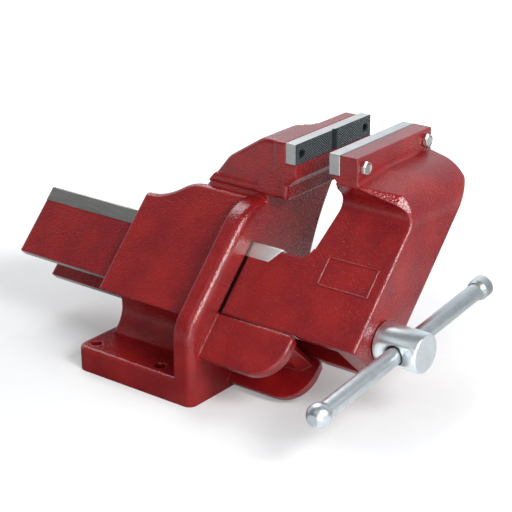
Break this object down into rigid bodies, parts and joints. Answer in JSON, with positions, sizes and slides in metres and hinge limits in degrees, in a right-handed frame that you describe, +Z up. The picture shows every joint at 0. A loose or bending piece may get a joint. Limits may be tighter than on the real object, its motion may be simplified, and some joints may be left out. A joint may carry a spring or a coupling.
{
  "type": "offset engineers vise",
  "caption": "Cast offset bench vise with a leaning open slide, steel jaw plates, and a tommy bar through the spindle head.",
  "frame": {"origin": "centre of the rectangle of base bolt holes, on the underside of the base", "axes": "+Z up, +Y to the rear along the slide, jaws offset to +X"},
  "size_m": [0.3558, 0.561, 0.285],
  "materials": {
    "red_paint_body": "deep red gloss enamel over cast iron",
    "red_paint_jaw": "deep red gloss enamel over cast iron",
    "jaw_steel_fixed": "hardened steel, serrated face",
    "jaw_steel_moving": "hardened steel, ground",
    "bolt_zinc": "zinc plated",
    "spindle_zinc": "zinc plated, turned",
    "dark_steel": "oiled steel",
    "nut_iron": "machined iron",
    "bar_zinc": "zinc plated"
  },
  "bodies": {
    "fixed_body": {"fixed_jaw_body": "red_paint_body", "fixed_jaw_plate": "jaw_steel_fixed", "fixed_jaw_bolt_left": "bolt_zinc", "fixed_jaw_bolt_right": "bolt_zinc", "spindle_nut": "nut_iron", "nut_screw_front": "dark_steel", "nut_screw_rear": "dark_steel"},
    "moving_jaw_body": {"moving_jaw": "red_paint_jaw", "moving_jaw_plate": "jaw_steel_moving", "moving_jaw_bolt_left": "bolt_zinc", "moving_jaw_bolt_right": "bolt_zinc"},
    "screw": {"spindle": "spindle_zinc", "spindle_collar": "dark_steel", "collar_pin": "dark_steel"},
    "handle": {"handle_bar": "bar_zinc", "handle_cap": "bar_zinc"}
  },
  "joints": [
    {"name": "jaw_slide", "type": "slide", "parent": "fixed_body", "child": "moving_jaw_body", "axis": [0, 1, 0], "range_m": [-0.12, 0.0448]},
    {"name": "screw_turn", "type": "hinge", "parent": "moving_jaw_body", "child": "screw", "pos_m": [-0.0047, -0.3, 0.0977], "axis": [0, 1, 0], "range_deg": [-7200, 2688]},
    {"name": "handle_slide", "type": "slide", "parent": "screw", "child": "handle", "axis": [0.9945, 0, 0.1045], "range_m": [-0.12, 0.12]}
  ],
  "couplings": [
    {"joint": "jaw_slide", "follows": "screw_turn", "m_per_rad": 0.00095493}
  ]
}
